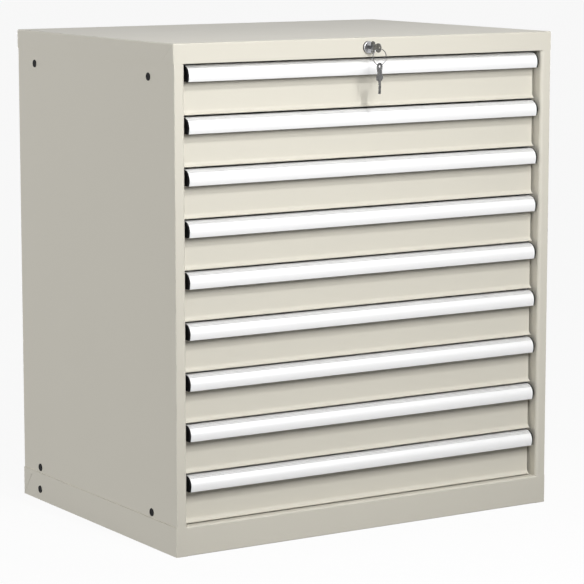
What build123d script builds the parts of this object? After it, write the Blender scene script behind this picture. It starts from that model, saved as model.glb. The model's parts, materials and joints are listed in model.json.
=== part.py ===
from build123d import *
import os
from math import asin, copysign, cos, degrees, radians, sin, tan

# Industrial drawer cabinet: a folded steel case on a plinth, nine drawers on telescopic runners, one lock.
# Millimetres. +Z is up and the drawers open towards -Y. The origin is on the floor, at the middle of the
# whole footprint with the key in its lock.

os.makedirs("parts", exist_ok=True)

# Case
body_width = 900
cabinet_depth = 666
drawer_count = 9
drawer_pitch = 100
plinth_height = 59
cap_height = 39
opening_spare = 2
sheet = 1.5
overrun = 5
sliding_gap = 0.3

# What stands out of the front: the lock's rosette and the key
rosette_height = 5
plug_recess = 0.8
key_neck = 6
bow_length = 36

key_reach = rosette_height - plug_recess + key_neck + bow_length
half_width = body_width / 2
shell_half_width = half_width + sheet
wall_inside = half_width - sheet
front_y = (key_reach - cabinet_depth) / 2
rear_y = front_y + cabinet_depth
case_middle_y = (front_y + rear_y) / 2
opening_top = plinth_height + drawer_count * drawer_pitch + opening_spare
total_height = opening_top + cap_height
ceiling = total_height - sheet
floor_top = plinth_height - sheet
case_front = front_y + 2 * sheet
runner_middle_height = drawer_pitch / 2

# Cap, plinth and base panel
cap_bend = 3
cap_lip = 12
seam_width = 0.6
seam_depth = 0.5
seam_setback = 40
seam_drop = 30
seam_corner = 4
ledge_bend = 4
ledge_depth = 25
base_flange = 30
floor_edge = 20
floor_front_inset = 13
floor_rear_gap = 0.5
ear_length = 40
ear_straight = 9
ear_gap = 0.6
ear_tip = 2

ear_front_y = rear_y - ear_length
ear_bend_z = plinth_height - ear_straight

# Side panels with their front posts
post_width = 23.5
post_depth = 35
post_lip = 12
post_bend = 7
corner_bend = 1.8
rear_flange = 20
panel_overlap = 24

post_inner = half_width - post_width
post_back = front_y + post_depth
panel_bottom = plinth_height - panel_overlap
panel_top = total_height - cap_bend

# Plugs in the sides
plug_sides = 16
plug_hole_radius = 6.5
plug_head_radius = 8
plug_head_height = 1.2
plug_stem_length = 5
plug_stem_fit = 0.05
plug_front_inset = 101.5
plug_rear_inset = 78
plug_low_height = 12
plug_high_drop = 29
plinth_plug_height = 23.5

plug_front_y = front_y + plug_front_inset
plug_rear_y = rear_y - plug_rear_inset
plug_places = [
    (plug_front_y, plinth_height + plug_low_height),
    (plug_front_y, opening_top - plug_high_drop),
    (plug_rear_y, plinth_height + plug_low_height),
    (plug_rear_y, opening_top - plug_high_drop),
]

# Back panel
back_margin = 1.5
back_return = 15

# Uprights and cabinet rails
upright_depth = 40
upright_front_inset = 43
slot_height = 16
slot_width = 6
slots_per_drawer = 1
rail_sheet = 1.5
rail_height = 46
rail_space = 16.5
rail_tip_gap = 3
rail_front_gap = 4
rail_rear_inset = 43

upright_front_y = front_y + upright_front_inset
upright_rear_y = plug_rear_y + upright_depth / 2
rail_front_y = upright_front_y + rail_front_gap
rail_rear_y = rear_y - rail_rear_inset
tray_half_width = post_inner - rail_space

# Runners: their flanges slide inside those of the cabinet rails and outside those of the drawer's own rails
runner_gap = 0.4
runner_web_gap = 0.9
runner_tip_gap = 0.5
drawer_rail_tip_gap = 1.6

runner_height = rail_height - 2 * rail_sheet - 2 * runner_gap
runner_web_x = post_inner - rail_sheet - runner_web_gap
runner_tip_x = tray_half_width + rail_sheet + runner_tip_gap
drawer_rail_height = runner_height - 2 * rail_sheet - 2 * runner_gap
drawer_rail_tip_x = runner_web_x - rail_sheet - drawer_rail_tip_gap

# Drawers
drawer_sheet = 1.2
panel_setback = 23
panel_side_gap = 6.2
panel_top_drop = 4.5
panel_return = 11
lip_bottom_height = 2.4
lip_reach = 7
lip_angle = 73
lip_fold_radius = 9.6
tray_bottom_height = 12
tray_top_drop = 12
tray_rim = 8

panel_front_y = front_y + panel_setback
panel_half_width = post_inner - panel_side_gap
panel_top_height = drawer_pitch - panel_top_drop
lip_tip_height = lip_bottom_height + drawer_sheet
lip_corner_height = lip_tip_height + lip_reach / tan(radians(lip_angle))
tray_front_y = panel_front_y + drawer_sheet
tray_rear_y = rail_rear_y
tray_middle_y = (tray_front_y + tray_rear_y) / 2
tray_depth = tray_rear_y - tray_front_y
tray_height = drawer_pitch - tray_top_drop - tray_bottom_height

# Grip strips and their end caps
handle_top_drop = 2
handle_height = 31.2
crown_radius = 19.3
handle_depth = 21.5
skirt_radius = 30
handle_wall = 2
handle_hook = 7
back_plate_height = 26
groove_count = 4
groove_width = 0.8
groove_depth = 0.5
groove_first_angle = 100
groove_span = 30
cap_thickness = 3.8

handle_top_height = drawer_pitch - handle_top_drop
handle_half_length = panel_half_width - cap_thickness
handle_tip_y = panel_front_y - handle_depth
crown_y = handle_tip_y + crown_radius
skirt_angle = degrees(asin((handle_height - crown_radius) / skirt_radius))

# Rail behind the front of the cap
front_rail_depth = 34
front_rail_foot = 1.5

front_rail_y = front_y + sheet
front_rail_back = front_y + front_rail_depth
front_rail_bottom = opening_top + front_rail_foot

# Lock
lock_offset = 7.5
rosette_radius = 12.15
rosette_bevel = 1.5
barrel_radius = 9.5
barrel_length = 27
barrel_clearance = 0.5
nut_width = 24
nut_height = 5
nut_fit = 0.05
plug_radius = 6.3
plug_fit = 0.08
tail_width = 6.5

lock_x = -lock_offset
lock_z = opening_top + cap_height / 2
plug_face_y = front_y - rosette_height + plug_recess

# Key
key_thickness = 2
blade_height = 7
blade_length = 22
keyway_fit = 0.1
bow_height = 25
bow_hole_radius = 2.2
bow_hole_inset = 5
notch_depth = 1.6
notch_count = 5

key_shoulder_y = plug_face_y - key_neck
blade_end_y = plug_face_y + blade_length

# Linkage behind the lock
link_sheet = 2
link_rim = 4.5
hub_radius = 7
pin_radius = 2.5
pin_clearance = 0.5
pin_end_gap = 0.2
cam_arm = 9
cam_swing = 45
rod_height = 14
rod_end = 7
input_arm = 14
output_arm = 12
stud_radius = 3
stud_fit = 0.05
stud_collar_radius = 5

# The cam swings as far to one side as to the other, the rod follows its pin, and the crank follows the rod.
rod_travel = 2 * cam_arm * sin(radians(cam_swing))
crank_swing = degrees(asin(rod_travel / 2 / input_arm))
crank_back = post_back
crank_front = crank_back - link_sheet
rod_back = crank_front - sliding_gap
rod_front = rod_back - link_sheet
cam_back = rod_front - sliding_gap
cam_front = cam_back - link_sheet
rod_bottom = front_rail_bottom + sheet + sliding_gap
rod_middle_z = rod_bottom + rod_height / 2

# Lock bar with its hooks, guides and the drawers' catches
bar_sheet = 3
bar_width = 14
bar_inset = 13
bar_bottom_gap = 4.5
bar_end_rim = 2.6
hook_height = 3
hook_length = 12
hook_gap = 1.2
catch_thickness = 3
catch_gap = 1
catch_side_gap = 2.5
guide_ear = 3
guide_height = 20
guide_bottom_height = 20
guide_count = 3

bar_front = post_back + sliding_gap
bar_back = bar_front + bar_sheet
bar_x = half_width - bar_inset
pivot_x = bar_x - output_arm * (1 + cos(radians(crank_swing))) / 2
pivot_z = rod_middle_z + input_arm
lock_rest_x = lock_x - rod_travel / 2
crank_rest_x = pivot_x - rod_travel / 2
lock_pin_low = lock_z - cam_arm
lock_pin_high = lock_z - cam_arm * cos(radians(cam_swing))
crank_pin_low = pivot_z - input_arm
crank_pin_high = pivot_z - input_arm * cos(radians(crank_swing))
output_rest_x = pivot_x + output_arm * cos(radians(crank_swing))
output_rest_z = pivot_z - output_arm * sin(radians(crank_swing))
hook_bottom_height = runner_middle_height + runner_height / 2 + hook_gap
catch_bottom_height = hook_bottom_height + hook_height + hook_gap
catch_height = tray_bottom_height + tray_height - hook_gap - catch_bottom_height
catch_tip_x = post_inner - catch_side_gap


def facing_front(y):
    """Upright plane at this y that faces the front. Its own axes are X and Z."""
    return Plane.XZ.offset(-y)


def slot_base(number):
    """Height at which the place of a drawer starts, drawer 1 at the top."""
    return plinth_height + (drawer_count - number) * drawer_pitch


def folded(plane, corners, bends, thickness):
    """Section of a folded sheet, which lies to the right of the line through the corners of one face.

    A bend of zero is a sharp corner.
    """
    points = [Vector(*corner) for corner in corners]
    normals = []
    for start, end in zip(points, points[1:]):
        along = (end - start).normalized()
        normals.append(Vector(along.Y, -along.X))
    other_side = [points[0] + normals[0] * thickness]
    other_bends = []
    for point, before, after, bend in zip(points[1:-1], normals, normals[1:], bends):
        other_side.append(point + (before + after) * (thickness / (1 + before.dot(after))))
        other_bends.append(bend + copysign(thickness, before.cross(after).Z) if bend else 0)
    other_side.append(points[-1] + normals[-1] * thickness)
    with BuildSketch(plane) as section:
        with BuildLine():
            given_line = FilletPolyline(*points, radius=bends)
            other_line = FilletPolyline(*other_side, radius=other_bends)
            Line(given_line @ 0, other_line @ 0)
            Line(given_line @ 1, other_line @ 1)
        make_face()
    return section.sketch


def channel(plane, web, tip, middle, height, thickness):
    """Section of a channel whose web starts at x = web and whose flanges end at x = tip."""
    inner_web = web + copysign(thickness, tip - web)
    top = middle + height / 2
    bottom = middle - height / 2
    with BuildSketch(plane) as section:
        with BuildLine():
            Polyline(
                (tip, top),
                (web, top),
                (web, bottom),
                (tip, bottom),
                (tip, bottom + thickness),
                (inner_web, bottom + thickness),
                (inner_web, top - thickness),
                (tip, top - thickness),
                close=True,
            )
        make_face()
    return section.sketch


def finish(part, label):
    """Name a finished piece and write it."""
    part.label = label
    export_step(part, f"parts/{label}.step")


# Side panels
with BuildPart() as right_side_panel:
    wall_corners = [
        (half_width - rear_flange, rear_y - sheet),
        (half_width, rear_y - sheet),
        (half_width, case_front),
    ]
    extrude(
        folded(Plane.XY.offset(panel_bottom), wall_corners, [corner_bend], sheet),
        amount=panel_top - panel_bottom,
    )
    post_corners = [
        (half_width, post_back),
        (half_width, front_y),
        (post_inner, front_y),
        (post_inner, post_back),
        (post_inner + post_lip, post_back),
    ]
    extrude(
        folded(Plane.XY.offset(plinth_height), post_corners, [corner_bend, post_bend, 0], sheet),
        amount=opening_top - plinth_height,
    )
    with BuildSketch(Plane.YZ.offset(wall_inside - overrun)):
        with Locations(*plug_places):
            RegularPolygon(plug_hole_radius, plug_sides)
    extrude(amount=sheet + 2 * overrun, mode=Mode.SUBTRACT)
finish(right_side_panel.part, "right_side_panel")

with BuildPart() as left_side_panel:
    mirror(right_side_panel.part, about=Plane.YZ)
finish(left_side_panel.part, "left_side_panel")

# Top cover
with BuildPart() as top_cover:
    with BuildSketch(Plane.XY.offset(opening_top)):
        with Locations((0, case_middle_y)):
            Rectangle(2 * shell_half_width, cabinet_depth)
    extrude(amount=cap_height)
    fillet(top_cover.edges().filter_by(Axis.Z), cap_bend)
    fillet(top_cover.faces().sort_by(Axis.Z)[-1].edges(), cap_bend)
    with BuildSketch(Plane.XY.offset(opening_top)):
        with Locations((0, case_middle_y)):
            Rectangle(2 * half_width, cabinet_depth - 2 * sheet)
    extrude(amount=cap_height - sheet, mode=Mode.SUBTRACT)
    with BuildSketch(Plane.XY.offset(opening_top)):
        with Locations((0, front_y + sheet + cap_lip / 2)):
            Rectangle(2 * post_inner, cap_lip)
    extrude(amount=sheet)
    with BuildSketch(facing_front(front_y)):
        with Locations((lock_x, lock_z)):
            Circle(barrel_radius + barrel_clearance)
    extrude(amount=-sheet - overrun, mode=Mode.SUBTRACT)
    for side in (-1, 1):
        with BuildSketch(Plane.YZ.offset(side * (shell_half_width - seam_depth))):
            with BuildLine():
                Polyline(
                    (front_y + seam_corner, total_height - seam_corner * seam_drop / seam_setback),
                    (front_y + seam_setback, total_height - seam_drop),
                    (front_y + seam_setback, opening_top + sheet),
                )
            trace(line_width=seam_width)
        extrude(amount=side * overrun, mode=Mode.SUBTRACT)
finish(top_cover.part, "top_cover")

# Rail behind the front of the cap, which carries the lock
with BuildPart() as top_front_rail:
    rail_corners = [
        (front_rail_back, front_rail_bottom),
        (front_rail_y, front_rail_bottom),
        (front_rail_y, ceiling),
        (front_rail_back, ceiling),
    ]
    extrude(
        folded(Plane.YZ.offset(-wall_inside), rail_corners, [0, 0], sheet),
        amount=2 * wall_inside,
    )
    with BuildSketch(facing_front(front_rail_y)):
        with Locations((lock_x, lock_z)):
            Circle(barrel_radius + barrel_clearance)
    extrude(amount=-sheet - overrun, mode=Mode.SUBTRACT)
finish(top_front_rail.part, "top_front_rail")


def ear_outline(setback):
    """Side view of the rear cover's ears, pulled back by setback from the plinth's own edge."""
    with BuildSketch(Plane.YZ.offset(-shell_half_width - overrun)) as outline:
        with BuildLine():
            Polyline(
                (ear_front_y + setback, plinth_height + overrun),
                (ear_front_y + setback, ear_bend_z),
                (rear_y - ear_tip + setback, ear_tip),
                (rear_y + overrun, ear_tip),
                (rear_y + overrun, plinth_height + overrun),
                close=True,
            )
        make_face()
    return outline.sketch


# Plinth: front and sides in one, with a flange round its foot and a ledge behind the bend of its front
with BuildPart() as plinth_frame:
    with BuildSketch():
        with Locations((0, case_middle_y)):
            Rectangle(2 * shell_half_width, cabinet_depth)
    extrude(amount=plinth_height)
    fillet(plinth_frame.edges().filter_by(Axis.Z).group_by(Axis.Y)[0], cap_bend)
    with BuildSketch():
        with Locations((0, case_middle_y + sheet)):
            Rectangle(2 * half_width, cabinet_depth)
    extrude(amount=plinth_height, mode=Mode.SUBTRACT)
    with BuildSketch():
        with Locations((0, rear_y)):
            Rectangle(2 * (shell_half_width + overrun), 2 * sheet)
    extrude(amount=plinth_height, mode=Mode.SUBTRACT)
    with BuildSketch():
        with Locations((0, case_middle_y)):
            Rectangle(2 * half_width, cabinet_depth - 2 * sheet)
        with Locations((0, case_middle_y + base_flange)):
            Rectangle(2 * (half_width - base_flange), cabinet_depth, mode=Mode.SUBTRACT)
    extrude(amount=sheet)
    with BuildSketch():
        with Locations((0, front_y)):
            Rectangle(2 * post_inner, 2 * ledge_depth)
    extrude(amount=plinth_height, mode=Mode.SUBTRACT)
    front_corners = [
        (front_y + base_flange, 0),
        (front_y, 0),
        (front_y, plinth_height),
        (front_y + ledge_depth, plinth_height),
    ]
    extrude(
        folded(Plane.YZ.offset(-post_inner), front_corners, [corner_bend, ledge_bend], sheet),
        amount=2 * post_inner,
    )
    extrude(ear_outline(0), amount=2 * (shell_half_width + overrun), mode=Mode.SUBTRACT)
    with BuildSketch(Plane.YZ.offset(-shell_half_width - overrun)):
        with Locations((plug_rear_y, plinth_plug_height)):
            RegularPolygon(plug_hole_radius, plug_sides)
    extrude(amount=2 * (shell_half_width + overrun), mode=Mode.SUBTRACT)
finish(plinth_frame.part, "plinth_frame")

with BuildPart() as plinth_rear_cover:
    with BuildSketch():
        with Locations((0, rear_y - ear_length / 2)):
            Rectangle(2 * shell_half_width, ear_length)
    extrude(amount=plinth_height)
    fillet(plinth_rear_cover.edges().filter_by(Axis.Z).group_by(Axis.Y)[-1], cap_bend)
    with BuildSketch():
        with Locations((0, rear_y - ear_length / 2 - sheet)):
            Rectangle(2 * half_width, ear_length)
    extrude(amount=plinth_height, mode=Mode.SUBTRACT)
    extrude(ear_outline(ear_gap), amount=2 * (shell_half_width + overrun), mode=Mode.INTERSECT)
finish(plinth_rear_cover.part, "plinth_rear_cover")

# Base panel: a tray turned upside down, which rests between the side panels
with BuildPart() as base_panel:
    floor_front_y = front_y + floor_front_inset
    floor_rear_y = rear_y - 2 * sheet - floor_rear_gap
    with BuildSketch(Plane.XY.offset(floor_top - floor_edge)):
        with Locations((0, (floor_front_y + floor_rear_y) / 2)):
            Rectangle(2 * wall_inside, floor_rear_y - floor_front_y)
    extrude(amount=floor_edge)
    offset(amount=-sheet, openings=base_panel.faces().sort_by(Axis.Z)[0])
finish(base_panel.part, "base_panel")

# Back panel, in front of the side panels' rear flanges
with BuildPart() as back_panel:
    back_half_width = wall_inside - back_margin
    back_face_y = rear_y - 2 * sheet
    back_corners = [
        (-back_half_width, back_face_y - back_return),
        (-back_half_width, back_face_y),
        (back_half_width, back_face_y),
        (back_half_width, back_face_y - back_return),
    ]
    extrude(
        folded(Plane.XY.offset(floor_top), back_corners, [0, 0], sheet),
        amount=ceiling - floor_top,
    )
finish(back_panel.part, "back_panel")

# Slotted uprights, one channel near each corner
with BuildPart() as uprights:
    with BuildSketch(Plane.XY.offset(floor_top)):
        for middle_y in (upright_front_y + upright_depth / 2, upright_rear_y - upright_depth / 2):
            with Locations(((post_inner + wall_inside) / 2, middle_y)):
                Rectangle(wall_inside - post_inner, upright_depth)
            with Locations(((post_inner + wall_inside) / 2 + sheet, middle_y)):
                Rectangle(wall_inside - post_inner, upright_depth - 2 * sheet, mode=Mode.SUBTRACT)
    extrude(amount=ceiling - floor_top)
    with BuildSketch(Plane.YZ.offset(post_inner - overrun)):
        slot_pitch = drawer_pitch / slots_per_drawer
        slot_rows = drawer_count * slots_per_drawer
        rows_middle = plinth_height + drawer_count * drawer_pitch / 2
        with Locations(((upright_front_y + upright_rear_y) / 2, rows_middle)):
            with GridLocations(upright_rear_y - upright_front_y - upright_depth, slot_pitch, 2, slot_rows):
                Rectangle(slot_width, slot_height)
    extrude(amount=sheet + 2 * overrun, mode=Mode.SUBTRACT)
    mirror(about=Plane.YZ)
finish(uprights.part, "uprights")

# Rails on the uprights, one for each drawer on each side
with BuildPart() as cabinet_rails_right:
    for number in range(1, drawer_count + 1):
        rail_section = channel(
            facing_front(rail_rear_y),
            post_inner,
            tray_half_width + rail_tip_gap,
            slot_base(number) + runner_middle_height,
            rail_height,
            rail_sheet,
        )
        extrude(rail_section, amount=rail_rear_y - rail_front_y)
finish(cabinet_rails_right.part, "cabinet_rails_right")

with BuildPart() as cabinet_rails_left:
    mirror(cabinet_rails_right.part, about=Plane.YZ)
finish(cabinet_rails_left.part, "cabinet_rails_left")

# Black plugs in the holes of the sides, with flat-sided heads and stems
with BuildPart() as hole_plugs:
    for face_x, places in ((half_width, plug_places), (shell_half_width, [(plug_rear_y, plinth_plug_height)])):
        with BuildSketch(Plane.YZ.offset(face_x)):
            with Locations(*places):
                RegularPolygon(plug_head_radius, plug_sides)
        extrude(amount=plug_head_height)
        with BuildSketch(Plane.YZ.offset(face_x)):
            with Locations(*places):
                RegularPolygon(plug_hole_radius - plug_stem_fit, plug_sides)
        extrude(amount=-plug_stem_length)
    mirror(about=Plane.YZ)
finish(hole_plugs.part, "hole_plugs")


def drawer_runners(base):
    """The two intermediate runners of one drawer."""
    with BuildPart() as runners:
        runner_section = channel(
            facing_front(tray_rear_y),
            runner_web_x,
            runner_tip_x,
            base + runner_middle_height,
            runner_height,
            rail_sheet,
        )
        extrude(runner_section, amount=tray_rear_y - upright_front_y)
        mirror(about=Plane.YZ)
    return runners.part


def drawer_body(base):
    """One drawer: tray, welded front with its flared lip, a rail on each side, and the catch."""
    with BuildPart() as body:
        with BuildSketch(Plane.XY.offset(base + tray_bottom_height)):
            with Locations((0, tray_middle_y)):
                Rectangle(2 * tray_half_width, tray_depth)
        extrude(amount=tray_height)
        offset(amount=-drawer_sheet, openings=body.faces().sort_by(Axis.Z)[-1])
        with BuildSketch(Plane.XY.offset(base + tray_bottom_height + tray_height - drawer_sheet)):
            with Locations((0, tray_middle_y)):
                Rectangle(2 * tray_half_width, tray_depth)
                Rectangle(2 * (tray_half_width - tray_rim), tray_depth - 2 * tray_rim, mode=Mode.SUBTRACT)
        extrude(amount=drawer_sheet)
        panel_corners = [
            (panel_front_y - lip_reach, base + lip_tip_height),
            (panel_front_y, base + lip_corner_height),
            (panel_front_y, base + panel_top_height),
            (panel_front_y + panel_return, base + panel_top_height),
        ]
        extrude(
            folded(
                Plane.YZ.offset(-panel_half_width),
                panel_corners,
                [lip_fold_radius, 0],
                drawer_sheet,
            ),
            amount=2 * panel_half_width,
        )
        with BuildSketch(Plane.XY.offset(base + tray_bottom_height)):
            return_x = panel_half_width - drawer_sheet / 2
            return_y = panel_front_y + panel_return / 2
            with Locations((return_x, return_y), (-return_x, return_y)):
                Rectangle(drawer_sheet, panel_return)
        extrude(amount=panel_top_height - tray_bottom_height)
        drawer_rail = channel(
            facing_front(tray_rear_y),
            tray_half_width,
            drawer_rail_tip_x,
            base + runner_middle_height,
            drawer_rail_height,
            rail_sheet,
        )
        extrude(drawer_rail, amount=tray_rear_y - upright_front_y)
        extrude(mirror(drawer_rail, about=Plane.YZ, mode=Mode.PRIVATE), amount=tray_rear_y - upright_front_y)
        with BuildSketch(Plane.XY.offset(base + catch_bottom_height)):
            catch_y = bar_back + catch_gap + catch_thickness / 2
            with Locations(((tray_half_width + catch_tip_x) / 2, catch_y)):
                Rectangle(catch_tip_x - tray_half_width, catch_thickness)
        extrude(amount=catch_height)
    return body.part


def handle_strip(base):
    """The grip strip of one drawer: crown and skirt in front, hooked over the top of the front panel."""
    top = base + handle_top_height
    crown_z = top - crown_radius
    with BuildPart() as handle:
        with BuildSketch(Plane.YZ.offset(-handle_half_length)):
            with BuildLine():
                skirt_centre = (handle_tip_y + skirt_radius, crown_z)
                CenterArc((crown_y, crown_z), crown_radius, 90, 90)
                skirt_outside = CenterArc(skirt_centre, skirt_radius, 180, skirt_angle)
                skirt_inside = CenterArc(skirt_centre, skirt_radius - handle_wall, 180, skirt_angle)
                CenterArc((crown_y, crown_z), crown_radius - handle_wall, 90, 90)
                Line(skirt_outside @ 1, skirt_inside @ 1)
                Polyline(
                    (crown_y, top - handle_wall),
                    (crown_y, base + panel_top_height - back_plate_height),
                    (panel_front_y, base + panel_top_height - back_plate_height),
                    (panel_front_y, base + panel_top_height),
                    (panel_front_y + handle_hook, base + panel_top_height),
                    (panel_front_y + handle_hook, top),
                    (crown_y, top),
                )
            make_face()
            with Locations((crown_y, crown_z)):
                groove_step = groove_span / (groove_count - 1)
                for groove in range(groove_count):
                    with PolarLocations(crown_radius, 1, start_angle=groove_first_angle + groove * groove_step):
                        Rectangle(2 * groove_depth, groove_width, mode=Mode.SUBTRACT)
        extrude(amount=2 * handle_half_length)
    return handle.part


def end_caps(base):
    """The two black caps that close the ends of one grip strip."""
    top = base + handle_top_height
    crown_z = top - crown_radius
    with BuildPart() as caps:
        with BuildSketch(Plane.YZ.offset(handle_half_length)):
            with BuildLine():
                CenterArc((crown_y, crown_z), crown_radius, 90, 90)
                skirt = CenterArc((handle_tip_y + skirt_radius, crown_z), skirt_radius, 180, skirt_angle)
                Polyline(
                    skirt @ 1,
                    (panel_front_y, top - handle_height),
                    (panel_front_y, top),
                    (crown_y, top),
                )
            make_face()
        extrude(amount=cap_thickness)
        mirror(about=Plane.YZ)
    return caps.part


for number in range(1, drawer_count + 1):
    drawer_base = slot_base(number)
    finish(drawer_runners(drawer_base), f"drawer_{number}_runners")
    finish(drawer_body(drawer_base), f"drawer_{number}_body")
    finish(handle_strip(drawer_base), f"drawer_{number}_handle")
    finish(end_caps(drawer_base), f"drawer_{number}_end_caps")

# Lock housing: rosette outside, barrel through the cap and the rail
with BuildPart() as lock_housing:
    with BuildSketch(facing_front(front_y)):
        with Locations((lock_x, lock_z)):
            Circle(rosette_radius)
    extrude(amount=rosette_height)
    chamfer(lock_housing.faces().sort_by(Axis.Y)[0].edges(), rosette_bevel)
    with BuildSketch(facing_front(front_y)):
        with Locations((lock_x, lock_z)):
            Circle(barrel_radius)
    extrude(amount=-barrel_length)
    with BuildSketch(facing_front(front_y - rosette_height - overrun)):
        with Locations((lock_x, lock_z)):
            Circle(plug_radius + plug_fit)
    extrude(amount=-(rosette_height + barrel_length + 2 * overrun), mode=Mode.SUBTRACT)
finish(lock_housing.part, "lock_housing")

with BuildPart() as lock_nut:
    with BuildSketch(facing_front(front_rail_y + sheet)):
        with Locations((lock_x, lock_z)):
            RegularPolygon(nut_width / 2, 6, major_radius=False)
            Circle(barrel_radius + nut_fit, mode=Mode.SUBTRACT)
    extrude(amount=-nut_height)
finish(lock_nut.part, "lock_nut")

# Plug that the key turns, with a square tail for the cam
with BuildPart() as lock_plug:
    with BuildSketch(facing_front(plug_face_y)):
        with Locations((lock_x, lock_z)):
            Circle(plug_radius)
    extrude(amount=-(cam_front - plug_face_y))
    with BuildSketch(facing_front(cam_front)):
        with Locations((lock_x, lock_z)):
            Rectangle(tail_width, tail_width)
    extrude(amount=-link_sheet)
    with BuildSketch(facing_front(plug_face_y - overrun)):
        with Locations((lock_x, lock_z)):
            Rectangle(key_thickness + 2 * keyway_fit, blade_height + 2 * keyway_fit)
    extrude(amount=-(overrun + blade_length + keyway_fit), mode=Mode.SUBTRACT)
finish(lock_plug.part, "lock_plug")

# Cam: an arm with a pin that pushes the rod
with BuildPart() as lock_cam:
    with BuildSketch(facing_front(cam_front)):
        with Locations((lock_x, lock_z)):
            Circle(hub_radius)
        with Locations(((lock_x + lock_rest_x) / 2, (lock_z + lock_pin_high) / 2)):
            SlotCenterToCenter(cam_arm, 2 * link_rim, rotation=-90 - cam_swing)
        with Locations((lock_x, lock_z)):
            Rectangle(tail_width, tail_width, mode=Mode.SUBTRACT)
    extrude(amount=-link_sheet)
    with BuildSketch(facing_front(cam_back)):
        with Locations((lock_rest_x, lock_pin_high)):
            Circle(pin_radius)
    extrude(amount=-(sliding_gap + link_sheet - pin_end_gap))
finish(lock_cam.part, "lock_cam")

# Key: oval bow, neck and notched blade in one plane
with BuildPart() as lock_key:
    bow_y = key_shoulder_y - bow_length / 2
    with BuildSketch(Plane.YZ.offset(lock_x)):
        with Locations((bow_y, lock_z)):
            Ellipse(bow_length / 2, bow_height / 2)
        with Locations(((key_shoulder_y - key_neck + blade_end_y) / 2, lock_z)):
            Rectangle(blade_end_y - key_shoulder_y + key_neck, blade_height)
        with Locations((key_shoulder_y - bow_length + bow_hole_inset, lock_z)):
            Circle(bow_hole_radius, mode=Mode.SUBTRACT)
        notch_pitch = blade_length / (notch_count + 1)
        for notch in range(notch_count):
            with Locations((blade_end_y - notch_pitch * (notch + 1), lock_z - blade_height / 2)):
                Rectangle(notch_depth, 2 * notch_depth, rotation=45, mode=Mode.SUBTRACT)
    extrude(amount=key_thickness / 2, both=True)
finish(lock_key.part, "lock_key")

# Push rod from the lock to the right-hand side, with an upright slot for each pin
with BuildPart() as lock_rod:
    rod_left = lock_rest_x - rod_end
    rod_right = crank_rest_x + rod_end
    with BuildSketch(facing_front(rod_front)):
        with Locations(((rod_left + rod_right) / 2, rod_middle_z)):
            Rectangle(rod_right - rod_left, rod_height)
        for slot_x, pin_low, pin_high in (
            (lock_rest_x, lock_pin_low, lock_pin_high),
            (crank_rest_x, crank_pin_low, crank_pin_high),
        ):
            with Locations((slot_x, (pin_low + pin_high) / 2)):
                SlotCenterToCenter(
                    pin_high - pin_low,
                    2 * (pin_radius + pin_clearance),
                    rotation=90,
                    mode=Mode.SUBTRACT,
                )
    extrude(amount=-link_sheet)
finish(lock_rod.part, "lock_rod")

# Bell crank: the rod pushes its lower arm, and its other arm lifts the bar
with BuildPart() as bell_crank:
    with BuildSketch(facing_front(crank_front)):
        with Locations((pivot_x, pivot_z)):
            Circle(hub_radius)
        with Locations(((pivot_x + crank_rest_x) / 2, (pivot_z + crank_pin_high) / 2)):
            SlotCenterToCenter(input_arm, 2 * link_rim, rotation=-90 - crank_swing)
        with Locations(((pivot_x + output_rest_x) / 2, (pivot_z + output_rest_z) / 2)):
            SlotCenterToCenter(output_arm, 2 * link_rim, rotation=-crank_swing)
        with Locations((pivot_x, pivot_z)):
            Circle(stud_radius + stud_fit, mode=Mode.SUBTRACT)
    extrude(amount=-link_sheet)
    with BuildSketch(facing_front(crank_front)):
        with Locations((crank_rest_x, crank_pin_high)):
            Circle(pin_radius)
    extrude(amount=sliding_gap + link_sheet - pin_end_gap)
    with BuildSketch(facing_front(crank_back)):
        with Locations((output_rest_x, output_rest_z)):
            Circle(pin_radius)
    extrude(amount=-(sliding_gap + bar_sheet - pin_end_gap))
finish(bell_crank.part, "bell_crank")

# Stud on the rail, on which the crank turns
with BuildPart() as crank_stud:
    with BuildSketch(facing_front(front_rail_y + sheet)):
        with Locations((pivot_x, pivot_z)):
            Circle(stud_collar_radius)
    extrude(amount=-(crank_front - sliding_gap - front_rail_y - sheet))
    with BuildSketch(facing_front(crank_front - sliding_gap)):
        with Locations((pivot_x, pivot_z)):
            Circle(stud_radius)
    extrude(amount=-(sliding_gap + link_sheet))
finish(crank_stud.part, "crank_stud")

# Lock bar: one hook beside each drawer, below its catch until the crank lifts the bar
with BuildPart() as lock_bar:
    bar_bottom = floor_top + bar_bottom_gap
    bar_top = output_rest_z + pin_radius + pin_clearance + bar_end_rim
    with BuildSketch(facing_front(bar_front)):
        with Locations((bar_x, (bar_bottom + bar_top) / 2)):
            Rectangle(bar_width, bar_top - bar_bottom)
        for number in range(1, drawer_count + 1):
            hook_z = slot_base(number) + hook_bottom_height + hook_height / 2
            with Locations((bar_x - bar_width / 2 - hook_length / 2, hook_z)):
                Rectangle(hook_length, hook_height)
        slot_run = output_arm * (1 - cos(radians(crank_swing)))
        with Locations((bar_x, output_rest_z)):
            SlotCenterToCenter(slot_run, 2 * (pin_radius + pin_clearance), mode=Mode.SUBTRACT)
    extrude(amount=-bar_sheet)
finish(lock_bar.part, "lock_bar")

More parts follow.
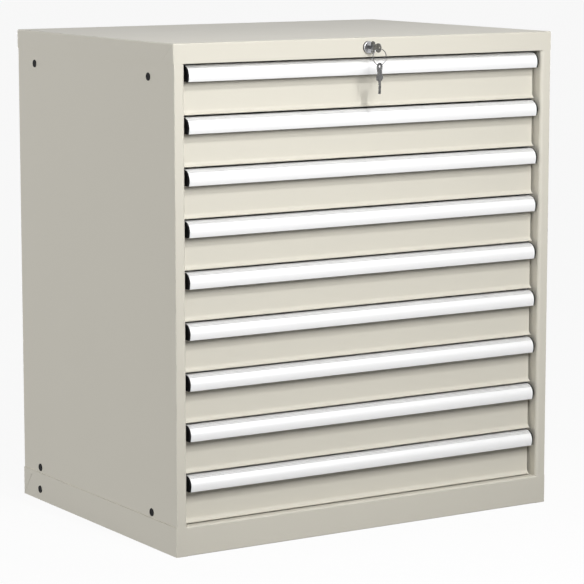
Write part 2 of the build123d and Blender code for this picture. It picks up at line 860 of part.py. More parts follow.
# Guides on the front upright, one in the middle of each group of drawers, with an ear on both sides of the bar
with BuildPart() as lock_bar_guides:
    guide_half_width = bar_width / 2 + sliding_gap + guide_ear
    guide_front = post_back + sliding_gap / 2
    guide_base = bar_back + sliding_gap
    group_count = drawer_count // guide_count
    for number in range((group_count + 1) // 2, drawer_count + 1, group_count):
        with BuildSketch(Plane.XY.offset(slot_base(number) + guide_bottom_height)):
            with Locations((bar_x, (guide_front + upright_front_y) / 2)):
                Rectangle(2 * guide_half_width, upright_front_y - guide_front)
            with Locations((bar_x, (guide_front + guide_base) / 2)):
                Rectangle(bar_width + 2 * sliding_gap, guide_base - guide_front, mode=Mode.SUBTRACT)
        extrude(amount=guide_height)
finish(lock_bar_guides.part, "lock_bar_guides")
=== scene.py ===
import json
import logging
import math
from collections.abc import Callable, Iterator
from contextlib import contextmanager
from dataclasses import dataclass
from enum import Enum

import bpy
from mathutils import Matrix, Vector

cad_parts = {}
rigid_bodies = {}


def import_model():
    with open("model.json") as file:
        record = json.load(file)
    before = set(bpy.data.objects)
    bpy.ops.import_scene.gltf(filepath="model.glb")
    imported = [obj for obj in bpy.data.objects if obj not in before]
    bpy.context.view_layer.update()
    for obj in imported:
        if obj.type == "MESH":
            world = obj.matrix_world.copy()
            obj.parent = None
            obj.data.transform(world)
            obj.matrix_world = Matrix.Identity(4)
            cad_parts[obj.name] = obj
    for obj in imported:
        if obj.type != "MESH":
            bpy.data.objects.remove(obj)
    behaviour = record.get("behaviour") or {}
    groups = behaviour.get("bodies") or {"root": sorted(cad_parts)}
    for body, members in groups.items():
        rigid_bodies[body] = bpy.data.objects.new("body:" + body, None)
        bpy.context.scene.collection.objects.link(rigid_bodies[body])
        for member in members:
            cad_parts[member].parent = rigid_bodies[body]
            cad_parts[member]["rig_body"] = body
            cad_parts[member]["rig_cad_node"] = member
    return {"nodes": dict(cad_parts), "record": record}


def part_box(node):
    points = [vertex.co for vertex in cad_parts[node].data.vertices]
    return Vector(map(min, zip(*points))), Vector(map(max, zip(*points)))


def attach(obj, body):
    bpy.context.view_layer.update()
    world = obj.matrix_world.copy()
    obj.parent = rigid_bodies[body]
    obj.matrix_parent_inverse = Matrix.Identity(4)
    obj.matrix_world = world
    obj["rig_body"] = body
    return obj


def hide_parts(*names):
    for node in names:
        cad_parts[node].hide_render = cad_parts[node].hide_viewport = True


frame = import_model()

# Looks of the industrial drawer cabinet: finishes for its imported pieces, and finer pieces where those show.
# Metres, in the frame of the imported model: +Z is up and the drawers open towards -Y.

log = logging.getLogger("cabinet")

DRAWERS = range(1, 10)
# Places nearer to each other than this are taken as one, and corners nearer than DOUBLE are merged.
NEAR = 1e-5
DOUBLE = NEAR / 10
# A face looks along an axis if that part of its normal is longer than this.
FACING = 0.999
# Edges that turn by fewer degrees are shaded smooth.
SMOOTH_ANGLE = 35.0
# The middle of what a noise returns.
MIDDLE = 0.5
WHITE = (1, 1, 1, 1)
# The Mix node's sockets for colours go by number, as its other sockets have the same names.
MIX_FIRST, MIX_SECOND, MIX_RESULT = 6, 7, 2
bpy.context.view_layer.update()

Color = tuple[float, float, float]
Piece = bpy.types.Object


class Slot(Enum):
    """Material slots of the record."""

    CASE = "case_paint"
    CAP = "cap_paint"
    DRAWER = "drawer_paint"
    GRIP = "grip_aluminium"
    BLACK = "black_plastic"
    GUIDE = "guide_plastic"
    ZINC = "zinc_steel"
    CHROME = "lock_chrome"
    KEY = "key_nickel"


PAINTED = (Slot.CASE, Slot.CAP, Slot.DRAWER)


# Shader nodes


class Value:
    """A node's output, on which arithmetic adds Math nodes."""

    def __init__(self, shop: "NodeShop", socket: bpy.types.NodeSocket) -> None:
        """Keep the socket and the shop that adds nodes to its tree."""
        self.shop = shop
        self.socket = socket

    def _math(self, operation: str, first: "Value | float", second: "Value | float") -> "Value":
        """Return the result of one Math node."""
        return self.shop.add("ShaderNodeMath", {"operation": operation}, {0: first, 1: second})

    def __add__(self, other: "Value | float") -> "Value":
        """Return self + other."""
        return self._math("ADD", self, other)

    def __radd__(self, other: "Value | float") -> "Value":
        """Return other + self."""
        return self._math("ADD", other, self)

    def __sub__(self, other: "Value | float") -> "Value":
        """Return self - other."""
        return self._math("SUBTRACT", self, other)

    def __rsub__(self, other: "Value | float") -> "Value":
        """Return other - self."""
        return self._math("SUBTRACT", other, self)

    def __mul__(self, other: "Value | float") -> "Value":
        """Return self * other."""
        return self._math("MULTIPLY", self, other)

    def __rmul__(self, other: "Value | float") -> "Value":
        """Return other * self."""
        return self._math("MULTIPLY", other, self)


class NodeShop:
    """Adds nodes to the tree of one material or of the world."""

    def __init__(self, owner: bpy.types.Material | bpy.types.World) -> None:
        """Empty the owner's tree and keep it."""
        owner.use_nodes = True
        self.owner = owner
        self.tree = owner.node_tree
        self.tree.nodes.clear()

    def node(
        self, kind: str, settings: dict[str, object] | None, inputs: dict[str | int, object] | None
    ) -> bpy.types.Node:
        """Add one node.

        Args:
            kind: the node's type.
            settings: its own settings, which are set before its sockets.
            inputs: a number, a colour or a Value to link, for each named or numbered socket.

        Returns:
            The node.
        """
        node = self.tree.nodes.new(kind)
        for name, setting in (settings or {}).items():
            setattr(node, name, setting)
        for name, given in (inputs or {}).items():
            if isinstance(given, Value):
                self.tree.links.new(given.socket, node.inputs[name])
            else:
                node.inputs[name].default_value = given
        return node

    def add(
        self,
        kind: str,
        settings: dict[str, object] | None = None,
        inputs: dict[str | int, object] | None = None,
        out: str | int = 0,
    ) -> Value:
        """Add one node and return one of its outputs.

        Args:
            kind: the node's type.
            settings: its own settings.
            inputs: what its sockets get.
            out: the name or number of the output.

        Returns:
            The output, ready for arithmetic.
        """
        return Value(self, self.node(kind, settings, inputs).outputs[out])

    def coordinates(self, stretch: tuple[float, float, float] = (1, 1, 1)) -> Value:
        """Return the object's own coordinates, scaled along each axis."""
        place = self.add("ShaderNodeTexCoord", out="Object")
        return self.add("ShaderNodeMapping", inputs={"Vector": place, "Scale": stretch})

    def noise(self, where: Value, scale: float, detail: float = 2.0) -> Value:
        """Return noise from 0 to 1, at a scale in cycles a metre."""
        return self.add("ShaderNodeTexNoise", inputs={"Vector": where, "Scale": scale, "Detail": detail})

    def step(self, value: Value, low: float, high: float) -> Value:
        """Return 0 below low and 1 above high, with a smooth change between them."""
        return self.add(
            "ShaderNodeMapRange",
            {"interpolation_type": "SMOOTHSTEP"},
            {"Value": value, "From Min": low, "From Max": high},
        )

    def tint(self, mask: Value, low: Color | Value, high: Color | Value) -> Value:
        """Mix two colours.

        Args:
            mask: how much of the second colour, from 0 to 1.
            low: the first colour.
            high: the second colour.

        Returns:
            The colour between them.
        """
        first, second = (end if isinstance(end, Value) else (*end, 1) for end in (low, high))
        inputs = {"Factor": mask, MIX_FIRST: first, MIX_SECOND: second}
        return self.add("ShaderNodeMix", {"data_type": "RGBA"}, inputs, out=MIX_RESULT)

    def bump(self, height: Value, depth: float) -> Value:
        """Return a normal bent by a height map whose full depth is in metres."""
        return self.add("ShaderNodeBump", inputs={"Height": height, "Distance": depth})

    def shown(self) -> Value:
        """Return 1 for rays that show something, and 0 for those that only light it."""
        rays = ("Camera", "Glossy", "Transmission")
        camera, glossy, through = (self.add("ShaderNodeLightPath", out=f"Is {ray} Ray") for ray in rays)
        return camera + glossy + through

    def close(self, surface: Value) -> None:
        """Link the surface to the tree's output."""
        kind = "World" if isinstance(self.owner, bpy.types.World) else "Material"
        self.node(f"ShaderNodeOutput{kind}", None, {"Surface": surface})

    def finish(self, inputs: dict[str | int, object]) -> bpy.types.Material:
        """Close the material with a Principled shader and return it."""
        self.close(self.add("ShaderNodeBsdfPrincipled", inputs=inputs, out="BSDF"))
        return self.owner


def shaded(color: Color, share: float) -> Color:
    """Return a colour made lighter or darker by a share."""
    return tuple(min(1.0, part * share) for part in color)


# Finishes


@dataclass(frozen=True)
class PowderPaint:
    """Satin powder paint: faint orange peel, slow drift of shade, and patches rubbed a little glossier."""

    name: str
    color: Color
    roughness: float = 0.44
    rubbed_roughness: float = 0.36
    gloss: float = 0.25
    drift: float = 0.012
    cloud_scale: float = 2.5
    rub_scale: float = 9.0
    rub_detail: float = 4.0
    peel_scale: float = 520.0
    peel_detail: float = 3.0
    peel_depth: float = 0.00004

    def material(self) -> bpy.types.Material:
        """Make the nodes of the paint.

        Returns:
            The material.
        """
        shop = NodeShop(bpy.data.materials.new(self.name))
        where = shop.coordinates()
        cloud = shop.noise(where, self.cloud_scale)
        rubbed = shop.noise(where, self.rub_scale, self.rub_detail)
        peel = shop.noise(where, self.peel_scale, self.peel_detail)
        return shop.finish(
            {
                "Base Color": shop.tint(
                    cloud, shaded(self.color, 1 - self.drift), shaded(self.color, 1 + self.drift)
                ),
                "Roughness": self.roughness - (self.roughness - self.rubbed_roughness) * rubbed,
                "Specular IOR Level": self.gloss,
                "Normal": shop.bump(peel, self.peel_depth),
            }
        )


@dataclass(frozen=True)
class DrawnAluminium:
    """Anodised aluminium: fine drawing lines along its length under a satin film."""

    name: str
    color: Color
    metal_share: float = 0.3
    roughness: float = 0.42
    line_scale: float = 2600.0
    line_stretch: float = 0.02
    line_depth: float = 0.00001
    line_shade: float = 0.965
    line_share: float = 0.6
    cloud_scale: float = 9.0
    cloud_stretch: float = 0.3
    roughness_swing: float = 0.08

    def material(self) -> bpy.types.Material:
        """Make the nodes of the metal.

        Returns:
            The material.
        """
        shop = NodeShop(bpy.data.materials.new(self.name))
        lines = shop.noise(shop.coordinates((self.line_stretch, 1, 1)), self.line_scale)
        cloud = shop.noise(shop.coordinates((self.cloud_stretch, 1, 1)), self.cloud_scale)
        shade = lines * self.line_share + cloud * (1 - self.line_share)
        return shop.finish(
            {
                "Base Color": shop.tint(shade, shaded(self.color, self.line_shade), self.color),
                "Metallic": self.metal_share,
                "Roughness": self.roughness + self.roughness_swing * (lines - MIDDLE),
                "Normal": shop.bump(lines, self.line_depth),
            }
        )


@dataclass(frozen=True)
class MouldedPlastic:
    """Moulded plastic with the fine eroded grain of its mould."""

    name: str
    color: Color
    roughness: float = 0.5
    gloss: float = 0.5
    roughness_swing: float = 0.1
    grain_scale: float = 1900.0
    grain_detail: float = 3.0
    grain_depth: float = 0.00003
    cloud_scale: float = 40.0
    worn_shade: float = 1.3

    def material(self) -> bpy.types.Material:
        """Make the nodes of the plastic.

        Returns:
            The material.
        """
        shop = NodeShop(bpy.data.materials.new(self.name))
        where = shop.coordinates()
        grain = shop.noise(where, self.grain_scale, self.grain_detail)
        cloud = shop.noise(where, self.cloud_scale)
        return shop.finish(
            {
                "Base Color": shop.tint(cloud, self.color, shaded(self.color, self.worn_shade)),
                "Roughness": self.roughness + self.roughness_swing * (grain - MIDDLE),
                "Specular IOR Level": self.gloss,
                "Normal": shop.bump(grain, self.grain_depth),
            }
        )


@dataclass(frozen=True)
class ZincPlate:
    """Zinc-plated sheet steel: faint spangle over rolling lines."""

    name: str
    color: Color
    roughness: float = 0.38
    roughness_swing: float = 0.16
    spangle_scale: float = 110.0
    spangle_share: float = 0.5
    line_scale: float = 1400.0
    line_stretch: float = 0.03
    line_depth: float = 0.00001
    dark_shade: float = 0.82

    def material(self) -> bpy.types.Material:
        """Make the nodes of the plating.

        Returns:
            The material.
        """
        shop = NodeShop(bpy.data.materials.new(self.name))
        where = shop.coordinates()
        cells = shop.add(
            "ShaderNodeTexVoronoi", inputs={"Vector": where, "Scale": self.spangle_scale}, out="Color"
        )
        spangle = shop.add("ShaderNodeRGBToBW", inputs={"Color": cells})
        rolled = shop.noise(shop.coordinates((1, self.line_stretch, 1)), self.line_scale)
        shade = self.spangle_share * spangle + (1 - self.spangle_share) * rolled
        return shop.finish(
            {
                "Base Color": shop.tint(shade, shaded(self.color, self.dark_shade), self.color),
                "Metallic": 1.0,
                "Roughness": self.roughness + self.roughness_swing * (spangle - MIDDLE),
                "Normal": shop.bump(rolled, self.line_depth),
            }
        )


@dataclass(frozen=True)
class PlatedMetal:
    """Bright plated metal: smears, hairlines from handling, and painted shade that darkens it towards the
    panel.
    """

    name: str
    color: Color
    roughness: float
    smear_scale: float = 180.0
    smear_detail: float = 4.0
    smear_shade: float = 0.8
    smear_roughness: float = 0.14
    hairline_scale: float = 2400.0
    hairline_stretch: float = 0.05
    hairline_depth: float = 0.000006
    # Painted shade: from a given depth on, the metal turns dark towards the panel, standing for the rosette's
    # shaded rim.
    painted_shade_tone: float = 0.1
    painted_shade_roughness: float = 0.3
    painted_shade_from: float = 1.0
    painted_shade_fade: float = 0.0012

    def material(self) -> bpy.types.Material:
        """Make the nodes of the plated metal.

        Returns:
            The material.
        """
        shop = NodeShop(bpy.data.materials.new(self.name))
        where = shop.coordinates()
        smear = shop.noise(where, self.smear_scale, self.smear_detail)
        hairlines = shop.noise(shop.coordinates((1, 1, self.hairline_stretch)), self.hairline_scale)
        depth = shop.add("ShaderNodeSeparateXYZ", inputs={"Vector": where}, out="Y")
        # Painted shade: darker towards the panel, past the given depth.
        painted_shade = shop.step(depth + self.painted_shade_fade * smear, self.painted_shade_from, self.painted_shade_from + self.painted_shade_fade)
        bright = shop.tint(smear, shaded(self.color, self.smear_shade), self.color)
        return shop.finish(
            {
                "Base Color": shop.tint(painted_shade, bright, shaded(self.color, self.painted_shade_tone)),
                "Metallic": 1.0,
                "Roughness": self.roughness + self.smear_roughness * smear + self.painted_shade_roughness * painted_shade,
                "Normal": shop.bump(hairlines, self.hairline_depth),
            }
        )


@dataclass(frozen=True)
class Finishes:
    """All the finishes of the cabinet, by slot."""

    paint: Color = (0.66, 0.632, 0.551)
    aluminium: Color = (0.92, 0.92, 0.92)
    # Dark grey painted into the strips' grooves as shade.
    groove: Color = (0.2, 0.2, 0.2)
    black: Color = (0.008, 0.008, 0.009)
    guide: Color = (0.72, 0.71, 0.67)
    zinc: Color = (0.62, 0.64, 0.66)
    chrome: Color = (0.5, 0.5, 0.515)
    nickel: Color = (0.27, 0.27, 0.27)
    polish: float = 0.2
    painted_shade_share: float = 0.4

    def make(self) -> dict[Slot, bpy.types.Material]:
        """Make the finish of each slot; the chrome's painted shade starts part of the way from the rosette's
        rim to the cap.

        Returns:
            The materials by slot.
        """
        # Painted shade on the rosette: its rim turns dark from part of the way towards the cap.
        rim_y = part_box("lock_housing")[0].y
        painted_shade_from = rim_y + self.painted_shade_share * (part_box("plinth_frame")[0].y - rim_y)
        chrome = PlatedMetal("lock_chrome", self.chrome, self.polish, painted_shade_from=painted_shade_from)
        nickel = PlatedMetal("key_nickel", self.nickel, self.polish, smear_shade=0.2)
        return {
            Slot.CASE: PowderPaint("case_paint", self.paint).material(),
            Slot.CAP: PowderPaint("cap_paint", self.paint).material(),
            Slot.DRAWER: PowderPaint("drawer_paint", self.paint).material(),
            Slot.GRIP: DrawnAluminium("grip_aluminium", self.aluminium).material(),
            Slot.BLACK: MouldedPlastic("black_plastic", self.black, gloss=0.06).material(),
            Slot.GUIDE: MouldedPlastic("guide_plastic", self.guide, roughness=0.45).material(),
            Slot.ZINC: ZincPlate("zinc_steel", self.zinc).material(),
            Slot.CHROME: chrome.material(),
            Slot.KEY: nickel.material(),
        }

    def painted_groove_shade(self) -> bpy.types.Material:
        """Return the painted shade inside the strips' grooves: a dull, dark aluminium."""
        return DrawnAluminium("grip_groove_painted_shade", self.groove, roughness=0.6).material()


# Modelling


def every(*parts: Vector) -> bool:
    """Select every face or edge."""
    return True


class Bench:
    """Operators on the piece in hand."""

    @staticmethod
    def take(*pieces: Piece) -> None:
        """Select some pieces alone.

        Args:
            pieces: the pieces, of which the first becomes the active one.
        """
        bpy.ops.object.select_all(action="DESELECT")
        for piece in pieces:
            piece.select_set(True)
        bpy.context.view_layer.objects.active = pieces[0]

    @staticmethod
    def settle(
        piece: Piece, move: Vector | None = None, turn: tuple[float, float, float] = (0, 0, 0)
    ) -> Piece:
        """Turn and move a piece, and apply that to its mesh.

        Args:
            piece: the piece.
            move: how far it moves, after the turn.
            turn: Euler angles, about the origin.

        Returns:
            The piece, its object at the origin again.
        """
        piece.rotation_euler = turn
        piece.location = move or (0, 0, 0)
        Bench.take(piece)
        bpy.ops.object.transform_apply(location=True, rotation=True, scale=True)
        return piece

    @staticmethod
    def block(low: Vector, high: Vector) -> Piece:
        """Stretch a cube between two corners.

        Args:
            low: its lowest corner.
            high: its highest corner.

        Returns:
            The block.
        """
        bpy.ops.object.select_all(action="DESELECT")
        bpy.ops.mesh.primitive_cube_add(size=1)
        piece = bpy.context.object
        piece.scale = high - low
        return Bench.settle(piece, (low + high) / 2)

    @staticmethod
    def rod(start: Vector, end: Vector, radius: float, sides: int) -> Piece:
        """Stand a cylinder between two points.

        Args:
            start: the middle of one end.
            end: the middle of the other end.
            radius: its radius.
            sides: how many sides stand for its round.

        Returns:
            The cylinder.
        """
        along = end - start
        bpy.ops.object.select_all(action="DESELECT")
        bpy.ops.mesh.primitive_cylinder_add(vertices=sides, radius=radius, depth=along.length)
        return Bench.settle(bpy.context.object, (start + end) / 2, along.to_track_quat("Z", "Y").to_euler())

    @staticmethod
    @contextmanager
    def selected(
        piece: Piece,
        faces: Callable[[Vector, Vector], bool] | None = None,
        edges: Callable[[Vector, Vector], bool] | None = None,
    ) -> Iterator[None]:
        """Edit a piece with some of its faces or edges selected.

        Args:
            piece: the piece to edit.
            faces: test of a face's centre and normal.
            edges: test of an edge's two ends.
        """
        Bench.take(piece)
        bpy.ops.object.mode_set(mode="EDIT")
        bpy.ops.mesh.select_mode(type="FACE" if faces else "EDGE")
        bpy.ops.mesh.select_all(action="DESELECT")
        bpy.ops.object.mode_set(mode="OBJECT")
        mesh = piece.data
        if faces:
            for face in mesh.polygons:
                face.select = faces(face.center, face.normal)
        if edges:
            for edge in mesh.edges:
                edge.select = edges(*(mesh.vertices[end].co for end in edge.vertices))
        bpy.ops.object.mode_set(mode="EDIT")
        yield
        bpy.ops.object.mode_set(mode="OBJECT")

    @staticmethod
    def modify(piece: Piece, kind: str, **settings: object) -> None:
        """Add a modifier to a piece and apply it.

        Args:
            piece: the piece.
            kind: the modifier's type.
            settings: its settings by name.
        """
        Bench.take(piece)
        modifier = piece.modifiers.new(kind.lower(), kind)
        for name, setting in settings.items():
            setattr(modifier, name, setting)
        bpy.ops.object.modifier_apply(modifier=modifier.name)

    @staticmethod
    def soften(piece: Piece, width: float, segments: int = 2, angle: float = SMOOTH_ANGLE) -> None:
        """Round the sharp edges of a piece.

        Args:
            piece: the piece.
            width: how far the rounding reaches from the edge.
            segments: its steps.
            angle: degrees from which an edge counts as sharp.
        """
        limit = math.radians(angle)
        Bench.modify(piece, "BEVEL", width=width, segments=segments, limit_method="ANGLE", angle_limit=limit)

    @staticmethod
    def merge(piece: Piece) -> None:
        """Merge the doubles of a piece."""
        with Bench.selected(piece, faces=every):
            bpy.ops.mesh.remove_doubles(threshold=DOUBLE)

    @staticmethod
    def outwards(piece: Piece) -> None:
        """Merge the doubles of a piece and make its faces look the same way, outwards if it is closed.

        Args:
            piece: the piece.
        """
        Bench.merge(piece)
        with Bench.selected(piece, faces=every):
            bpy.ops.mesh.normals_make_consistent(inside=False)

    @staticmethod
    def join(*pieces: Piece) -> Piece:
        """Join several pieces.

        Args:
            pieces: the pieces.

        Returns:
            The first one, which now holds them all.
        """
        Bench.take(*pieces)
        bpy.ops.object.join()
        return pieces[0]

    @staticmethod
    def cut(piece: Piece, tool: Piece) -> None:
        """Cut a tool out of a piece, and delete the tool."""
        Bench.modify(piece, "BOOLEAN", operation="DIFFERENCE", solver="EXACT", object=tool)
        bpy.data.objects.remove(tool)

    @staticmethod
    def copy(piece: Piece) -> Piece:
        """Copy a piece.

        Args:
            piece: the piece.

        Returns:
            The copy, with a mesh of its own.
        """
        Bench.take(piece)
        bpy.ops.object.duplicate(linked=False)
        return bpy.context.object

    @staticmethod
    def place(
        piece: Piece,
        name: str,
        body: str,
        slot: Slot,
        materials: dict[Slot, bpy.types.Material],
        replaces: tuple[str, ...] = (),
    ) -> None:
        """Finish a piece: name, smooth shading, material, and the body that it rides on.

        Args:
            piece: the modelled object.
            name: its name.
            body: the body that carries it.
            slot: the record's material slot.
            materials: the finishes, of which it takes its slot's if it has none yet.
            replaces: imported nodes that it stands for.
        """
        Bench.take(piece)
        bpy.ops.object.shade_smooth_by_angle(angle=math.radians(SMOOTH_ANGLE))
        Bench.modify(piece, "WEIGHTED_NORMAL", keep_sharp=True)
        piece.name = name
        if not piece.data.materials:
            piece.data.materials.append(materials[slot])
        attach(piece, body)
        if replaces:
            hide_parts(*replaces)
        log.info("%s rides on %s, %d faces", name, body, len(piece.data.polygons))


@dataclass
class SheetSteel:
    """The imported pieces: each takes its finish, and a painted sheet also gets smooth bends."""

    materials: dict[Slot, bpy.types.Material]

    def build(self) -> None:
        """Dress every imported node, and put a smooth copy in the place of each painted one."""
        slots = {entry["node"]: Slot(entry["material_slot"]) for entry in frame["record"]["subparts"]}
        for name, node in frame["nodes"].items():
            slot = slots[name]
            node.data.materials.clear()
            node.data.materials.append(self.materials[slot])
            if slot in PAINTED:
                self._smooth(name, slot)
        log.info("%d packed nodes dressed", len(frame["nodes"]))

    def _smooth(self, name: str, slot: Slot) -> None:
        """Replace a node by a copy of itself whose doubles are merged and whose bends are shaded smooth.

        Args:
            name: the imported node.
            slot: its material slot.
        """
        node = frame["nodes"][name]
        sheet = Bench.copy(node)
        del sheet["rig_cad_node"]
        Bench.merge(sheet)
        Bench.place(sheet, f"{name}_sheet", node["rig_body"], slot, self.materials, (name,))


@dataclass
class GripStrips:
    """The nine grip strips and their black end caps."""

    materials: dict[Slot, bpy.types.Material]
    painted_groove_shade: bpy.types.Material
    crown_radius: float = 0.0193
    skirt_radius: float = 0.030
    wall: float = 0.002
    plate_height: float = 0.026
    plate_edge: float = 0.0003
    lip_reach: float = 0.007
    groove_depth: float = 0.0005
    groove_reach: float = 0.55
    groove_angles: tuple[float, ...] = (11.25, 21.25, 31.25, 41.25)
    crown_steps: int = 36
    skirt_steps: int = 8
    cap_steps: int = 24
    cap_edge: float = 0.0007
    cap_edge_steps: int = 3
    cap_edge_angle: float = 50.0

    def build(self) -> None:
        """Model one strip and one pair of end caps, and copy them to every drawer."""
        low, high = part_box("drawer_1_handle")
        first_strip = self._strip(low, high)
        first_caps = self._caps(*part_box("drawer_1_end_caps"))
        for number in reversed(DRAWERS):
            drop = Vector((0, 0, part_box(f"drawer_{number}_handle")[1].z - high.z))
            last = number == DRAWERS[0]
            strip = Bench.settle(first_strip if last else Bench.copy(first_strip), drop)
            caps = Bench.settle(first_caps if last else Bench.copy(first_caps), drop)
            body = f"drawer_{number}"
            Bench.place(strip, f"{body}_grip_strip", body, Slot.GRIP, self.materials, (f"{body}_handle",))
            Bench.place(caps, f"{body}_strip_ends", body, Slot.BLACK, self.materials, (f"{body}_end_caps",))

    def _strip(self, low: Vector, high: Vector) -> Piece:
        """Model the extrusion: flat top, crown, skirt and back plate.

        Args:
            low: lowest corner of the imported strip.
            high: highest corner of it.

        Returns:
            The strip.
        """
        crown_y = low.y + self.crown_radius
        crown_z = high.z - self.crown_radius
        bpy.ops.object.select_all(action="DESELECT")
        bpy.ops.mesh.primitive_plane_add(size=1)
        shell = bpy.context.object
        shell.scale = (high.x - low.x, high.y - crown_y, 1)
        Bench.settle(shell, Vector((0, (crown_y + high.y) / 2, high.z)))
        quarter = math.pi / 2
        skirt_angle = math.asin((crown_z - low.z) / self.skirt_radius)
        crown_centre = (0, crown_y, crown_z)
        skirt_centre = (0, low.y + self.skirt_radius, crown_z)
        with Bench.selected(shell, edges=lambda a, b: max(a.y, b.y) < crown_y + NEAR):
            bpy.ops.mesh.spin(steps=self.crown_steps, angle=quarter, center=crown_centre, axis=(-1, 0, 0))
        with Bench.selected(shell, edges=lambda a, b: max(a.z, b.z) < crown_z + NEAR):
            bpy.ops.mesh.spin(steps=self.skirt_steps, angle=skirt_angle, center=skirt_centre, axis=(-1, 0, 0))
        Bench.outwards(shell)
        if max(shell.data.polygons, key=lambda face: face.center.z).normal.z < 0:
            with Bench.selected(shell, faces=every):
                bpy.ops.mesh.flip_normals()
        self._groove(shell, crown_y, crown_z)
        Bench.modify(shell, "SOLIDIFY", thickness=self.wall, offset=-1, use_even_offset=True)
        plate_top = high.z - self.wall
        panel_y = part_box("drawer_1_body")[0].y + self.lip_reach
        plate = Bench.block(
            Vector((low.x, crown_y, plate_top - self.plate_height)), Vector((high.x, panel_y, plate_top))
        )
        Bench.soften(plate, self.plate_edge)
        return Bench.join(shell, plate)

    def _groove(self, shell: Piece, crown_y: float, crown_z: float) -> None:
        """Sink one narrow strip of the crown at each groove, and give it the grooves' painted shade.

        Args:
            shell: the open sheet of the strip.
            crown_y: where the crown's centre is along Y.
            crown_z: where it is along Z.
        """
        reach = math.pi / 2 / self.crown_steps * self.groove_reach

        def in_groove(centre: Vector, normal: Vector) -> bool:
            """Tell whether a face of the crown lies on one of the grooves."""
            angle = math.atan2(crown_y - centre.y, centre.z - crown_z)
            return any(abs(angle - math.radians(groove)) < reach for groove in self.groove_angles)

        # The grooves' floors take a second, darker material: painted shade.
        for finish in (self.materials[Slot.GRIP], self.painted_groove_shade):
            shell.data.materials.append(finish)
        with Bench.selected(shell, faces=in_groove):
            sink = {"value": -self.groove_depth}
            bpy.ops.mesh.extrude_region_shrink_fatten(TRANSFORM_OT_shrink_fatten=sink)
            shell.active_material_index = 1
            bpy.ops.object.material_slot_assign()

    def _caps(self, low: Vector, high: Vector) -> Piece:
        """Model the pair of end caps, rounded like the strip.

        Args:
            low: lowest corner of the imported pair.
            high: highest corner of it.

        Returns:
            The two caps as one piece.
        """
        strip_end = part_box("drawer_1_handle")[1].x
        skirt_height = high.z - self.crown_radius - low.z
        skirt_back = self.skirt_radius - math.sqrt(self.skirt_radius**2 - skirt_height**2)
        caps = Bench.block(Vector((strip_end, low.y, low.z)), high)

        def in_front(a: Vector, b: Vector) -> bool:
            """Tell whether an edge lies in the front face."""
            return max(a.y, b.y) < low.y + NEAR

        with Bench.selected(caps, edges=lambda a, b: in_front(a, b) and min(a.z, b.z) > high.z - NEAR):
            bpy.ops.mesh.bevel(offset=self.crown_radius, segments=self.cap_steps, affect="EDGES")
        with Bench.selected(caps, edges=lambda a, b: in_front(a, b) and max(a.z, b.z) < low.z + NEAR):
            bpy.ops.transform.translate(value=(0, skirt_back, 0))
        Bench.soften(caps, self.cap_edge, self.cap_edge_steps, self.cap_edge_angle)
        Bench.modify(caps, "MIRROR", use_axis=(True, False, False))
        Bench.outwards(caps)
        return caps


